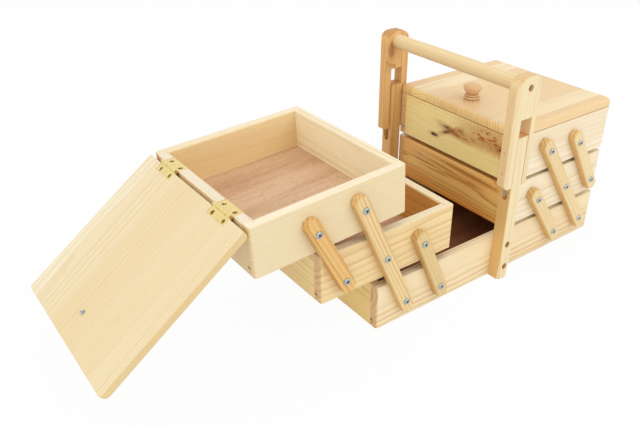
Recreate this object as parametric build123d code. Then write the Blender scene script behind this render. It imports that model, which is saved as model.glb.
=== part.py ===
from build123d import *
import math
import os

os.makedirs("parts", exist_ok=True)

# Sewing carrier: a long bottom box, two middle trays, two upper trays with lids, and a raised handle.
# Millimetres. X runs along the box, -Y is the front, +Z is up, and the origin is the middle of the
# bottom box's footprint. Each half is built as the right half, opening towards +X, and the left half
# is its mirror image.

# ---- boards, shared by the box and the trays
box_length = 380.0
box_depth = 196.0
board_height = 56.0
board_thickness = 11.0
corner_radius = 3.5          # upright outer corners
edge_ease = 1.0              # outer rims, top and bottom
rim_chamfer = 1.2            # inner rim
tongue_thickness = 3.2       # an end board's tongue, on the side of its inner face
tongue_reach = 5.5           # how far it goes into the side board
floor_thickness = 3.0
groove_lift = 7.0            # underside of the floor groove, above the board's bottom
groove_depth = 5.0
groove_slack = 0.2           # room above the floor in its groove
floor_end_slack = 0.4        # room at each edge of the floor
batten_width = 20.0          # strip under the middle of the bottom box's floor

cut_over = 1.0               # how far a cutter passes the face that it opens

# ---- how the tiers stack
tier_gap = 5.0               # upright gap between the closed tiers
centre_gap = 15.0            # between the two closed halves
side_clearance = 0.3         # the trays are narrower than the box by this on each side
lid_gap = 1.2
lid_thickness = 11.0
lid_edge_radius = 6.5

# ---- folding arms
arm_pitch = 75.0             # pivot to pivot along every arm
arm_width = 16.5
arm_thickness = 9.0
arm_end = 17.0               # wood beyond the last pivot
arm_clip = 5.0               # clipped end corners
arm_ease = 1.0
arm_clearance = 0.3          # between an arm and the box side
arm_lift = 29.5              # long arm pivots, above the bottom of each tier
long_arm_inset = 35.0        # long arm's foot, in from the end of the bottom box
lower_arm_shift = 53.0       # short lower arm, inboard of the long arm
lower_arm_drop = 2.0         # and lower than it
upper_arm_shift = 53.5       # short upper arm's foot, outboard of the long arm
upper_arm_drop = 5.5
upper_arm_head_out = 2.8     # its head is fixed further out, which tips the upper tray as it opens
upper_arm_swing_ratio = 0.992   # and makes it swing a little less than the long arm
running_clearance = 0.08     # radial, arm hole on screw
loose_clearance = 0.6        # radial, in the head of the short upper arm

# ---- rest pose
left_swing = 60.0            # degrees opened from closed
right_swing = 0.0
tray_tip_ratio = 0.055       # the upper tray's tip, for each degree of swing
left_lid_angle = 213.5
right_lid_angle = 0.0

# ---- screws
screw_head_radius = 4.0
screw_head_height = 2.0
screw_rim_height = 0.8
screw_crown_reach = 0.55     # a point on the dome: this share of the way out
screw_crown_drop = 0.28      # and this share of the way down
screw_shank_radius = 2.0
screw_length = 18.0
screw_tip = 3.0
screw_point = 0.3            # radius of the blunt point
screw_seat = 0.2             # between a screw head and the arm under it
cross_width = 1.1
cross_reach = 2.3
cross_depth = 1.3
pilot_clearance = 0.03
pilot_end = 0.5              # room past the point of a screw

# ---- posts and handle
post_width = 17.0
post_depth = 16.5
post_edge_foot = 3.2         # chamfer on the outer upright edges, wide at the foot
post_edge_head = 0.8         # and this small further up
post_edge_run = 30.0         # height over which it narrows
post_slot_width = 8.2
post_slot_bottom = 110.0
post_screw_heights = (17.5, 49.0)
post_screw_length = 19.0
counterbore_radius = 4.0
counterbore_depth = 6.0
handle_travel = 19.0
fork_slack = 0.3             # fork tine beside the post
fork_stand_off = 3.0         # back of the fork behind the line of the box side
tine_width = 10.2
fork_bottom = 128.0
fork_top = 259.5
fork_shoulder = 14.0         # rounded top corners
fork_toe = 4.0               # rounded tine ends
fork_edge = 3.0              # chamfer on the outer upright edges
crotch_slack = 2.0
grip_radius = 8.8
grip_drop = 13.0             # middle of the grip, below the top of the forks
grip_screw_length = 35.0
deep_head_radius = 3.4
deep_shank_radius = 1.9
peg_radius = 3.8
peg_end_radius = 1.5
peg_heights = (147.0, 172.0)
peg_slack = 0.1
peg_sink = 0.3

# ---- hinges
hinge_length = 32.0
hinge_offset = 55.5          # middle of each hinge, from the middle of the lid
tray_leaf_width = 10.4       # from the end of the tray inwards
lid_leaf_width = 8.0
leaf_thickness = 1.2
leaf_sink = 0.2
knuckle_radius = 2.0
knuckle_count = 5
knuckle_gap = 0.15
knuckle_room = 0.3
hinge_pin_radius = 0.98
hinge_pin_clearance = 0.05
hinge_axis_out = 2.6         # hinge line, outside the end board
mortise_slack = 0.2
leaf_screw_pitch = 20.0
tray_leaf_screw_inset = 4.6
lid_leaf_screw_inset = 4.8
leaf_screw_head = 2.7
leaf_screw_shank = 1.3
leaf_screw_length = 7.5
slot_width = 0.8
slot_depth = 0.6

# ---- knob
knob_inset = 153.0           # from the lid's outer end
knob_profile = [(0, 0), (10.5, 0), (10.5, 2.6), (9.6, 3.4), (10.2, 4.2), (10.2, 5.8), (9.0, 6.8), (9.0, 8.2),
                (7.8, 9.6), (8.4, 11.2), (10.6, 14.0), (11.4, 17.0), (10.2, 19.6), (7.0, 21.2), (0, 21.8)]
knob_screw_shank = 1.7
knob_screw_length = 25.0

# ---- derived
half_length = box_length / 2
half_depth = box_depth / 2
tray_half_depth = half_depth - side_clearance
tray_start = centre_gap / 2
tier_pitch = board_height + tier_gap
middle_base = tier_pitch
upper_base = 2 * tier_pitch
upper_rim = upper_base + board_height
lid_bottom = upper_rim + lid_gap
lid_top = lid_bottom + lid_thickness
closed_lean = -math.degrees(math.acos(tier_pitch / arm_pitch))
arm_face = half_depth + arm_clearance
screw_face = arm_face + arm_thickness + screw_seat
post_face = half_depth + post_depth
post_top = lid_top
deep_seat = post_face - counterbore_depth
peg_line = half_depth + post_depth / 2
fork_back = half_depth + fork_stand_off
grip_height = fork_top - grip_drop
hinge_axis_x = half_length + hinge_axis_out
hinge_axis_z = upper_rim + lid_gap / 2
mortise_depth = leaf_thickness + leaf_sink
knuckle_pitch = hinge_length / knuckle_count

long_foot = Vector(half_length - long_arm_inset, 0, arm_lift)
lower_foot = long_foot + Vector(-lower_arm_shift, 0, -lower_arm_drop)
upper_foot_offset = Vector(upper_arm_shift, 0, -upper_arm_drop)

# the short upper arm is as long as the others, so how far out its head is sets how high it is
upper_arm_step_x = arm_pitch * math.sin(math.radians(closed_lean)) + upper_arm_head_out
upper_arm_step_z = math.sqrt(arm_pitch ** 2 - upper_arm_step_x ** 2)
upper_arm_lean_closed = math.degrees(math.atan2(upper_arm_step_x, upper_arm_step_z))
upper_head_offset = upper_foot_offset + Vector(upper_arm_head_out, 0, upper_arm_step_z - tier_pitch)


def along_arm(lean, pivots=1):
    """The step from an arm's foot to a pivot, with the arm leaning outwards by lean degrees."""
    angle = math.radians(lean)
    return Vector(math.sin(angle), 0, math.cos(angle)) * (arm_pitch * pivots)


def y_cylinder(radius, start, end, x, z):
    """A round bar along Y from start to end."""
    bar = Cylinder(radius, abs(end - start), rotation=(90, 0, 0))
    return Pos(x, (start + end) / 2, z) * bar


def span_box(x0, x1, y0, y1, z0, z1):
    """A block between two corners."""
    return Pos((x0 + x1) / 2, (y0 + y1) / 2, (z0 + z1) / 2) * Box(x1 - x0, y1 - y0, z1 - z0)


def both_sides(shape):
    """A front piece and its mirror image at the back."""
    return [shape, mirror(shape, about=Plane.XZ)]


def turned(shape, centre, degrees):
    """A shape turned about a line along Y; positive moves its top outwards."""
    return shape.rotate(Axis((centre.X, 0, centre.Z), (0, 1, 0)), degrees)


# ---- boxes and trays

def box_envelope(x0, x1, half_y, base):
    """Outer shape of a box, with rounded corners and eased rims."""
    block = span_box(x0, x1, -half_y, half_y, base, base + board_height)
    block = fillet(block.edges().filter_by(Axis.Z), corner_radius)
    rims = block.faces().sort_by(Axis.Z)[0].edges() + block.faces().sort_by(Axis.Z)[-1].edges()
    return fillet(rims, edge_ease)


def rim_cutter(x0, x1, half_y, base):
    """Cuts the chamfer round the inner rim."""
    low = base + board_height - rim_chamfer
    high = base + board_height + cut_over
    inner = board_thickness - rim_chamfer
    cutter = span_box(x0 + inner, x1 - inner, inner - half_y, half_y - inner, low, high)
    foot = cutter.faces().sort_by(Axis.Z)[0].edges()
    return chamfer(foot, rim_chamfer)


def tongue_spans(x0, x1):
    """Where the tongues of the two end boards are along X."""
    return ((x0 + board_thickness - tongue_thickness, x0 + board_thickness),
            (x1 - board_thickness, x1 - board_thickness + tongue_thickness))


def side_board(x0, x1, half_y, base):
    """Front board, its floor groove open at both ends, grooved for the end boards' tongues."""
    end_t = board_thickness
    start = x0 - cut_over
    stop = x1 + cut_over
    outside = -half_y - cut_over
    inner_face = -half_y + end_t
    blank = span_box(start, stop, outside, inner_face, base - cut_over, base + board_height + cut_over)
    board = box_envelope(x0, x1, half_y, base) & blank
    for tongue in tongue_spans(x0, x1):
        low = base - cut_over
        high = base + board_height + cut_over
        board -= span_box(tongue[0], tongue[1], inner_face - tongue_reach, inner_face + cut_over, low, high)
    groove_low = base + groove_lift
    groove_high = groove_low + floor_thickness + groove_slack
    board -= span_box(start, stop, inner_face - groove_depth, inner_face + cut_over, groove_low, groove_high)
    return board - rim_cutter(x0, x1, half_y, base)


def end_board(x0, x1, half_y, base, at_start):
    """End board between the side boards, with a tongue in each of them."""
    end_t = board_thickness
    face = x0 if at_start else x1 - end_t
    inner_y = half_y - end_t
    tongue_y = inner_y + tongue_reach
    span = tongue_spans(x0, x1)[0 if at_start else 1]
    web = span_box(face, face + end_t, -inner_y, inner_y, base, base + board_height)
    tongue = span_box(span[0], span[1], -tongue_y, tongue_y, base, base + board_height)
    board = box_envelope(x0, x1, half_y, base) & (web + tongue)
    groove_low = base + groove_lift
    groove_high = groove_low + floor_thickness + groove_slack
    groove_face = x0 + end_t - groove_depth if at_start else x1 - end_t - cut_over
    groove_back = groove_face + groove_depth + cut_over
    board -= span_box(groove_face, groove_back, -half_y, half_y, groove_low, groove_high)
    return board - rim_cutter(x0, x1, half_y, base)


def floor_panel(x0, x1, half_y, base):
    """Plywood floor that sits in the grooves."""
    inset = board_thickness - groove_depth + floor_end_slack
    low = base + groove_lift
    return span_box(x0 + inset, x1 - inset, inset - half_y, half_y - inset, low, low + floor_thickness)


def floor_batten():
    """Strip glued under the bottom box's floor, level with the lower edges of the boards."""
    inner_y = half_depth - board_thickness
    return span_box(-batten_width / 2, batten_width / 2, -inner_y, inner_y, 0, groove_lift)


def open_box(x0, x1, half_y, base, pivots):
    """The four boards and the floor of a box or tray, drilled for the arm screws at pivots."""
    front = side_board(x0, x1, half_y, base)
    bore_radius = screw_shank_radius + pilot_clearance
    bore_end = screw_length - screw_face + pilot_end
    for pivot in pivots:
        front -= y_cylinder(bore_radius, -half_y - cut_over, bore_end, pivot.X, pivot.Z)
    boards = {}
    boards["front_side"] = front
    boards["back_side"] = mirror(front, about=Plane.XZ)
    boards["inner_end"] = end_board(x0, x1, half_y, base, True)
    boards["outer_end"] = end_board(x0, x1, half_y, base, False)
    boards["floor"] = floor_panel(x0, x1, half_y, base)
    return boards


# ---- screws

def cross_screw(head_radius, shank_radius, length):
    """A domed cross-head screw along +Y, with the underside of its head at the origin."""
    crown = head_radius * screw_crown_reach
    bulge = screw_head_height - (screw_head_height - screw_rim_height) * screw_crown_drop
    profile = ThreePointArc((0, -screw_head_height), (crown, -bulge), (head_radius, -screw_rim_height))
    profile += Polyline((head_radius, -screw_rim_height), (head_radius, 0), (shank_radius, 0),
                        (shank_radius, length - screw_tip), (screw_point, length), (0, length),
                        (0, -screw_head_height))
    screw = revolve(make_face(profile), Axis.Y)
    low = cross_depth - screw_head_height
    for width, height in ((cross_width, 2 * cross_reach), (2 * cross_reach, cross_width)):
        screw -= span_box(-width / 2, width / 2, -screw_head_height - cut_over, low, -height / 2, height / 2)
    return screw


def slotted_screw(axis_length):
    """A small flush slotted screw along -Z, with the top of its head at the origin."""
    sink = leaf_thickness
    head = Pos(0, 0, -sink / 2) * Cone(leaf_screw_shank, leaf_screw_head, sink)
    shank = Pos(0, 0, -sink - axis_length / 2) * Cylinder(leaf_screw_shank, axis_length)
    reach = 2 * leaf_screw_head
    slot = span_box(-reach, reach, -slot_width / 2, slot_width / 2, -slot_depth, cut_over)
    return head + shank - slot


def arm_screws(pivots):
    """Front and back arm screws at the pivots."""
    screw = cross_screw(screw_head_radius, screw_shank_radius, screw_length)
    screws = []
    for pivot in pivots:
        screws += both_sides(Pos(pivot.X, -screw_face, pivot.Z) * screw)
    return screws


# ---- arms

def arm_hole(clearance, x, z):
    """Cuts a screw's hole through a front arm."""
    start = -arm_face - arm_thickness - cut_over
    return y_cylinder(screw_shank_radius + clearance, start, cut_over - arm_face, x, z)


def arm_blank(spans, foot, lean):
    """A front arm from its foot, with a hole at each pivot, all a running fit."""
    reach = arm_pitch * spans
    half = arm_width / 2
    low = -arm_end
    high = reach + arm_end
    outline = Polyline(
        (-half + arm_clip, low), (half - arm_clip, low), (half, low + arm_clip), (half, high - arm_clip),
        (half - arm_clip, high), (-half + arm_clip, high), (-half, high - arm_clip), (-half, low + arm_clip),
        close=True)
    blank = extrude(Plane.XZ * make_face(outline), arm_thickness)
    front_edges = blank.faces().sort_by(Axis.Y)[0].edges()
    blank = chamfer(front_edges, arm_ease)
    blank = Pos(0, -arm_face, 0) * blank
    for index in range(spans + 1):
        blank -= arm_hole(running_clearance, 0, index * arm_pitch)
    return Pos(foot.X, 0, foot.Z) * blank.rotate(Axis.Y, lean)


# ---- hinges, one at each end of the hinge line, built at the closed upper tray

def knuckles(first, y_middle, radius, grow):
    """Every other knuckle of a hinge, as one list of round bars."""
    bars = []
    for index in range(first, knuckle_count, 2):
        start = y_middle - hinge_length / 2 + index * knuckle_pitch - grow
        end = start + knuckle_pitch + 2 * grow
        bars.append(y_cylinder(radius, start, end, hinge_axis_x, hinge_axis_z))
    return bars


def hinge_leaf(y_middle, on_lid):
    """One leaf with its knuckles; the lid's leaf is the tray's leaf turned over."""
    own = 0 if on_lid else 1
    low = hinge_axis_z - knuckle_radius
    y0 = y_middle - hinge_length / 2
    inner_edge = half_length - (lid_leaf_width if on_lid else tray_leaf_width)
    plate = span_box(inner_edge, hinge_axis_x, y0, y0 + hinge_length, low, low + leaf_thickness)
    if on_lid:
        plate = turned_over(plate)
    for gap in knuckles(1 - own, y_middle, knuckle_radius + knuckle_room, knuckle_gap / 2):
        plate -= gap
    for bar in knuckles(own, y_middle, knuckle_radius, -knuckle_gap / 2):
        plate += bar
    bore = y_cylinder(hinge_pin_radius + hinge_pin_clearance, y0 - cut_over, y0 + hinge_length + cut_over,
                      hinge_axis_x, hinge_axis_z)
    plate -= bore
    for screw_y in leaf_screw_ys(y_middle):
        hole = Pos(leaf_screw_x(on_lid), screw_y, low + leaf_thickness) * leaf_screw_hole()
        plate -= turned_over(hole) if on_lid else hole
    return plate


def turned_over(shape):
    """A shape mirrored in the level plane through the hinge line."""
    return mirror(shape, about=Plane.XY.offset(hinge_axis_z))


def leaf_screw_x(on_lid):
    """Where a leaf's screws are along X."""
    return half_length - (lid_leaf_screw_inset if on_lid else tray_leaf_screw_inset)


def leaf_screw_ys(y_middle):
    """Where a leaf's two screws are along Y."""
    return (y_middle - leaf_screw_pitch / 2, y_middle + leaf_screw_pitch / 2)


def leaf_screw_hole():
    """Countersunk hole for a leaf screw, a hair larger than the screw."""
    sink = leaf_thickness
    shank_radius = leaf_screw_shank + pilot_clearance
    cone = Pos(0, 0, -sink / 2) * Cone(shank_radius, leaf_screw_head + pilot_clearance, sink)
    return cone + Pos(0, 0, -sink) * Cylinder(shank_radius, 2 * sink)


def leaf_pilot(screw_y, on_lid):
    """Hole for a leaf screw in the tray's end board or in the lid."""
    depth = leaf_screw_length + pilot_end
    hole = Cylinder(leaf_screw_shank + pilot_clearance, depth)
    hole = Pos(leaf_screw_x(on_lid), screw_y, upper_rim - mortise_depth - depth / 2) * hole
    return turned_over(hole) if on_lid else hole


def leaf_screw_at(screw_y, on_lid):
    """A leaf screw in place."""
    top = hinge_axis_z - knuckle_radius + leaf_thickness
    screw = Pos(leaf_screw_x(on_lid), screw_y, top) * slotted_screw(leaf_screw_length)
    return turned_over(screw) if on_lid else screw


hinge_middles = (-hinge_offset, hinge_offset)
screw_ys = leaf_screw_ys(-hinge_offset) + leaf_screw_ys(hinge_offset)


def hinged_end(board):
    """The upper tray's outer end, with a through mortise and screw holes for each hinge."""
    slot_half = (hinge_length + mortise_slack) / 2
    start = half_length - board_thickness - cut_over
    stop = half_length + cut_over
    for middle in hinge_middles:
        board -= span_box(start, stop, middle - slot_half, middle + slot_half,
                          upper_rim - mortise_depth, upper_rim + cut_over)
    for screw_y in screw_ys:
        board -= leaf_pilot(screw_y, False)
    return board


def lid_panel():
    """Lid with rounded top edges, recesses for the leaves and a hole for the knob's screw."""
    panel = span_box(tray_start, half_length, -tray_half_depth, tray_half_depth, lid_bottom, lid_top)
    panel = fillet(panel.edges().filter_by(Axis.Z), corner_radius)
    panel = fillet(panel.faces().sort_by(Axis.Z)[-1].edges(), lid_edge_radius)
    slot_half = (hinge_length + mortise_slack) / 2
    start = half_length - lid_leaf_width - mortise_slack / 2
    stop = half_length + cut_over
    for middle in hinge_middles:
        panel -= span_box(start, stop, middle - slot_half, middle + slot_half,
                          lid_bottom - cut_over, lid_bottom + mortise_depth)
    for screw_y in screw_ys:
        panel -= leaf_pilot(screw_y, True)
    bore = Cylinder(knob_screw_shank + pilot_clearance, 4 * lid_thickness)
    return panel - Pos(half_length - knob_inset, 0, lid_top) * bore


def lid_knob():
    """Turned knob that stands on the lid."""
    outline = make_face(Polyline(*knob_profile, close=True))
    knob = revolve(Plane.XZ * outline, Axis.Z)
    hole_depth = knob_screw_length - lid_thickness + pilot_end
    knob -= Pos(0, 0, hole_depth / 2) * Cylinder(knob_screw_shank + pilot_clearance, hole_depth)
    return Pos(half_length - knob_inset, 0, lid_top) * knob


def knob_screw():
    """Screw from under the lid into the knob."""
    screw = cross_screw(deep_head_radius, knob_screw_shank, knob_screw_length)
    return Pos(half_length - knob_inset, 0, lid_bottom) * screw.rotate(Axis.X, 90)


# ---- one half of the carrier

def build_half(swing, lid_angle):
    """All moving pieces of the right half, opened by swing and lid_angle degrees."""
    lean = closed_lean + swing
    lift = along_arm(lean) - along_arm(closed_lean)
    middle_pivot = long_foot + along_arm(closed_lean)
    upper_pivot = long_foot + along_arm(closed_lean, 2)
    upper_arm_foot = middle_pivot + upper_foot_offset
    upper_arm_head = upper_pivot + upper_head_offset
    lower_arm_head = lower_foot + along_arm(closed_lean)

    def at_middle(shape):
        return Pos(lift.X, 0, lift.Z) * shape

    def at_upper(shape):
        tipped = turned(shape, upper_pivot, tray_tip_ratio * swing)
        return Pos(2 * lift.X, 0, 2 * lift.Z) * tipped

    hinge_line = Vector(hinge_axis_x, 0, hinge_axis_z)

    def at_lid(shape):
        return at_upper(turned(shape, hinge_line, lid_angle))

    pieces = {}
    middle_pivots = [middle_pivot, lower_arm_head, upper_arm_foot]
    for name, board in open_box(tray_start, half_length, tray_half_depth, middle_base, middle_pivots).items():
        pieces["middle_" + name] = [at_middle(board)]
    pieces["middle_arm_screws"] = [at_middle(screw) for screw in arm_screws(middle_pivots)]

    upper_pivots = [upper_pivot, upper_arm_head]
    upper = open_box(tray_start, half_length, tray_half_depth, upper_base, upper_pivots)
    upper["outer_end"] = hinged_end(upper["outer_end"])
    for name, board in upper.items():
        pieces["upper_" + name] = [at_upper(board)]
    pieces["upper_arm_screws"] = [at_upper(screw) for screw in arm_screws(upper_pivots)]

    pieces["hinge_tray_leaves"] = [at_upper(hinge_leaf(middle, False)) for middle in hinge_middles]
    pins = []
    for middle in hinge_middles:
        y0 = middle - hinge_length / 2
        pins.append(at_upper(y_cylinder(hinge_pin_radius, y0, y0 + hinge_length, hinge_axis_x, hinge_axis_z)))
    pieces["hinge_pins"] = pins
    pieces["hinge_tray_screws"] = [at_upper(leaf_screw_at(screw_y, False)) for screw_y in screw_ys]

    pieces["lid_panel"] = [at_lid(lid_panel())]
    pieces["lid_knob"] = [at_lid(lid_knob())]
    pieces["lid_knob_screw"] = [at_lid(knob_screw())]
    pieces["hinge_lid_leaves"] = [at_lid(hinge_leaf(middle, True)) for middle in hinge_middles]
    pieces["hinge_lid_screws"] = [at_lid(leaf_screw_at(screw_y, True)) for screw_y in screw_ys]

    pieces["long_arms"] = both_sides(arm_blank(2, long_foot, lean))
    pieces["lower_arms"] = both_sides(arm_blank(1, lower_foot, lean))
    moved_foot = upper_arm_foot + lift
    upper_arm_lean = upper_arm_lean_closed + upper_arm_swing_ratio * swing
    upper_arm = arm_blank(1, moved_foot, upper_arm_lean)
    head = moved_foot + along_arm(upper_arm_lean)
    upper_arm -= arm_hole(loose_clearance, head.X, head.Z)
    pieces["upper_arms"] = both_sides(upper_arm)
    return pieces


# ---- bottom box, posts and handle

def box_pieces():
    """The bottom box with the feet of all the arms."""
    right_feet = [long_foot, lower_foot]
    left_feet = [Vector(-foot.X, 0, foot.Z) for foot in right_feet]
    boards = open_box(-half_length, half_length, half_depth, 0, right_feet + left_feet)
    bore_radius = deep_shank_radius + pilot_clearance
    bore_end = post_screw_length - deep_seat + pilot_end
    for post_screw_z in post_screw_heights:
        bore = y_cylinder(bore_radius, -half_depth - cut_over, bore_end, 0, post_screw_z)
        boards["front_side"] -= bore
        boards["back_side"] -= mirror(bore, about=Plane.XZ)
    pieces = {}
    pieces["box_front_side"] = [boards["front_side"]]
    pieces["box_back_side"] = [boards["back_side"]]
    pieces["box_left_end"] = [boards["inner_end"]]
    pieces["box_right_end"] = [boards["outer_end"]]
    pieces["box_floor"] = [boards["floor"], floor_batten()]
    pieces["box_arm_screws"] = arm_screws(right_feet + left_feet)
    return pieces


def corner_triangle(size, x_sign, height):
    """Level triangle over the part that a chamfer takes off the front post's outer upright corner."""
    outside_x = x_sign * (post_width / 2 + cut_over)
    inside_x = x_sign * (post_width / 2 - size - cut_over)
    outside_y = -post_face - cut_over
    inside_y = -post_face + size + cut_over
    outline = Polyline((outside_x, outside_y, height), (outside_x, inside_y, height),
                       (inside_x, outside_y, height), close=True)
    return make_face(outline)


def deep_screw_hole(height, far_face):
    """Cuts a counterbore in the front face, and the screw's hole from there out through the far face."""
    hole = y_cylinder(counterbore_radius, -post_face - cut_over, -deep_seat, 0, height)
    return hole + y_cylinder(deep_shank_radius + pilot_clearance, -post_face, far_face + cut_over, 0, height)


def front_post():
    """Post with a long slot for the pegs and two counterbored screw holes."""
    post = span_box(-post_width / 2, post_width / 2, -post_face, -half_depth, 0, post_top)
    for x_sign in (-1, 1):
        foot = corner_triangle(post_edge_foot, x_sign, 0)
        narrow = corner_triangle(post_edge_head, x_sign, post_edge_run)
        post -= loft([foot, narrow])
        post -= extrude(narrow, post_top, dir=(0, 0, 1))
    post = chamfer(post.faces().sort_by(Axis.Z)[-1].edges(), post_edge_head)
    slot_radius = post_slot_width / 2
    top_centre = peg_heights[1]
    low_centre = post_slot_bottom + slot_radius
    slot = span_box(-post_width, post_width, -peg_line - slot_radius, -peg_line + slot_radius,
                    low_centre, top_centre)
    for centre in (low_centre, top_centre):
        slot += Pos(0, -peg_line, centre) * Cylinder(slot_radius, 2 * post_width, rotation=(0, 90, 0))
    post -= slot
    for height in post_screw_heights:
        post -= deep_screw_hole(height, -half_depth)
    return post


def front_fork():
    """Forked end of the handle, astride the post."""
    half = post_width / 2 + fork_slack + tine_width
    block = span_box(-half, half, -post_face, -fork_back, fork_bottom, fork_top)
    top_corners = block.faces().sort_by(Axis.Z)[-1].edges().filter_by(Axis.Y)
    block = fillet(top_corners, fork_shoulder)
    bottom_corners = block.faces().sort_by(Axis.Z)[0].edges().filter_by(Axis.Y)
    block = fillet(bottom_corners, fork_toe)
    front_edges = block.faces().sort_by(Axis.Y)[0].edges().filter_by(Axis.Z)
    cut_side = fork_edge * math.sqrt(2)
    cut = Box(cut_side, cut_side, 2 * fork_top, rotation=(0, 0, 45))
    for edge in front_edges:
        middle = edge.center()
        block -= Pos(middle.X, middle.Y, fork_bottom) * cut
    crotch = post_top + handle_travel + crotch_slack
    gap = post_width / 2 + fork_slack
    block -= span_box(-gap, gap, -post_face - cut_over, cut_over - fork_back, fork_bottom - cut_over, crotch)
    for height in peg_heights:
        hole = Cylinder(peg_end_radius + pilot_clearance, 4 * post_width, rotation=(0, 90, 0))
        block -= Pos(0, -peg_line, height) * hole
    return block - deep_screw_hole(grip_height, -fork_back)


def guide_peg(height):
    """Peg through both tines, thicker where it slides in the post's slot."""
    inner = post_width + 2 * (fork_slack - peg_slack)
    outer = post_width + 2 * (fork_slack + tine_width - peg_sink)
    peg = Cylinder(peg_radius, inner, rotation=(0, 90, 0))
    peg += Cylinder(peg_end_radius, outer, rotation=(0, 90, 0))
    return Pos(0, -peg_line, height) * peg


def handle_pieces():
    """Two forks, the grip between them, and their pegs and screws."""
    grip = y_cylinder(grip_radius, -fork_back, fork_back, 0, grip_height)
    bore_end = grip_screw_length - deep_seat + pilot_end
    bore = y_cylinder(deep_shank_radius + pilot_clearance, -fork_back - cut_over, bore_end, 0, grip_height)
    grip = grip - bore - mirror(bore, about=Plane.XZ)
    forks = both_sides(front_fork())
    screw = cross_screw(deep_head_radius, deep_shank_radius, grip_screw_length)
    screw = Pos(0, -deep_seat, grip_height) * screw
    pieces = {}
    pieces["handle_front_fork"] = [forks[0]]
    pieces["handle_back_fork"] = [forks[1]]
    pieces["handle_grip"] = [grip]
    pieces["handle_guide_pegs"] = [peg for height in peg_heights for peg in both_sides(guide_peg(height))]
    pieces["handle_grip_screws"] = both_sides(screw)
    return pieces


def post_pieces():
    """Front and back posts and their screws."""
    posts = both_sides(front_post())
    screws = []
    for height in post_screw_heights:
        screw = cross_screw(deep_head_radius, deep_shank_radius, post_screw_length)
        screws += both_sides(Pos(0, -deep_seat, height) * screw)
    return {"front_post": [posts[0]], "back_post": [posts[1]], "post_screws": screws}


def export_node(name, solids):
    """Writes one node's solids to its own STEP file."""
    shape = solids[0] if len(solids) == 1 else Compound(children=solids)
    export_step(shape, "parts/" + name + ".step")


model = {}
model.update(box_pieces())
model.update(post_pieces())
model.update(handle_pieces())
for piece, solids in build_half(left_swing, left_lid_angle).items():
    model["left_" + piece] = [mirror(solid, about=Plane.YZ) for solid in solids]
for piece, solids in build_half(right_swing, right_lid_angle).items():
    model["right_" + piece] = solids
for node, node_solids in model.items():
    export_node(node, node_solids)

whole = Compound(children=[solid for node_solids in model.values() for solid in node_solids])
box = whole.bounding_box()
print(len(model), "nodes")
print("bounds", box.min, box.max)
for side, swing in (("left", left_swing), ("right", right_swing)):
    lean = closed_lean + swing
    middle_pin = long_foot + along_arm(lean)
    upper_pin = long_foot + along_arm(lean, 2)
    closed_pin = long_foot + along_arm(closed_lean, 2)
    hinge_point = Pos(hinge_axis_x, 0, hinge_axis_z) * Vertex(0, 0, 0)
    hinge_point = turned(hinge_point, closed_pin, tray_tip_ratio * swing).center() + upper_pin - closed_pin
    for label, point in (("long foot", long_foot), ("lower foot", lower_foot), ("middle", middle_pin),
                         ("upper", upper_pin), ("short foot", middle_pin + upper_foot_offset),
                         ("lid hinge", hinge_point)):
        print(side, label, round(point.X, 4), round(point.Z, 4))
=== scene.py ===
"""Dresses the sewing carrier: pine boards, plywood floors, brass hinges, zinc screws and turned knobs."""
import logging
import math
from dataclasses import dataclass
from enum import Enum
from typing import Callable, Mapping, Optional, Sequence, Union

import bmesh
import bpy
from mathutils import Matrix, Vector


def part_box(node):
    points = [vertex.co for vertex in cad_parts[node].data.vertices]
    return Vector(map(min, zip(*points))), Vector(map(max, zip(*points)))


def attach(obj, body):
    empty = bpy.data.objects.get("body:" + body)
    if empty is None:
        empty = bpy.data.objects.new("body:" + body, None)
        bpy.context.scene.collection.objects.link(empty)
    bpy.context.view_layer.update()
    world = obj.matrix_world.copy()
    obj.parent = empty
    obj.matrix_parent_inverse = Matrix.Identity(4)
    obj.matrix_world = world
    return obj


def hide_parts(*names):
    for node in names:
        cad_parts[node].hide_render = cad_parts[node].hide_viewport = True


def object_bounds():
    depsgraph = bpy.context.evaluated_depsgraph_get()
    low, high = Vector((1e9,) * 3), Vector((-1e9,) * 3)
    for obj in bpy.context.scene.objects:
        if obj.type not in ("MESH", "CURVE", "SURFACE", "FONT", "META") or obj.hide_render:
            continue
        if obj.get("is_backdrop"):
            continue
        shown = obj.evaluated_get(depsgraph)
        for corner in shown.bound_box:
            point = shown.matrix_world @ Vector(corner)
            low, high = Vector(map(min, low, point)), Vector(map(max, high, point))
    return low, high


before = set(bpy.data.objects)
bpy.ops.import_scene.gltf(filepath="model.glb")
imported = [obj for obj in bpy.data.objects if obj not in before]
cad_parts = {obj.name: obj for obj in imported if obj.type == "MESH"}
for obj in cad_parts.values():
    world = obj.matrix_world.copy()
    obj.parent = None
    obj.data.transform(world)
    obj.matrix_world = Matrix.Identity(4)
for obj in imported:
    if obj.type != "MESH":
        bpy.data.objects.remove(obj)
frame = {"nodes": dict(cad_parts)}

LOG = logging.getLogger("carrier")
Pair = tuple[float, float]
Triple = tuple[float, float, float]
Socket = bpy.types.NodeSocket
Value = Union[Socket, float, int, str, Sequence[float]]

X_AXIS, Y_AXIS, Z_AXIS = (Vector(row) for row in Matrix.Identity(3))
MM = 0.001


def tint(code: str) -> Triple:
    """Turns a six-digit screen colour into linear light.

    Args:
        code: Red, green and blue as six hexadecimal digits.

    Returns:
        The three linear components.
    """
    channels = []
    for start in (0, 2, 4):
        level = int(code[start:start + 2], 16) / 255
        channels.append(level / 12.92 if level <= 0.04045 else ((level + 0.055) / 1.055) ** 2.4)
    return (channels[0], channels[1], channels[2])


# ---- building node trees

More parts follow.
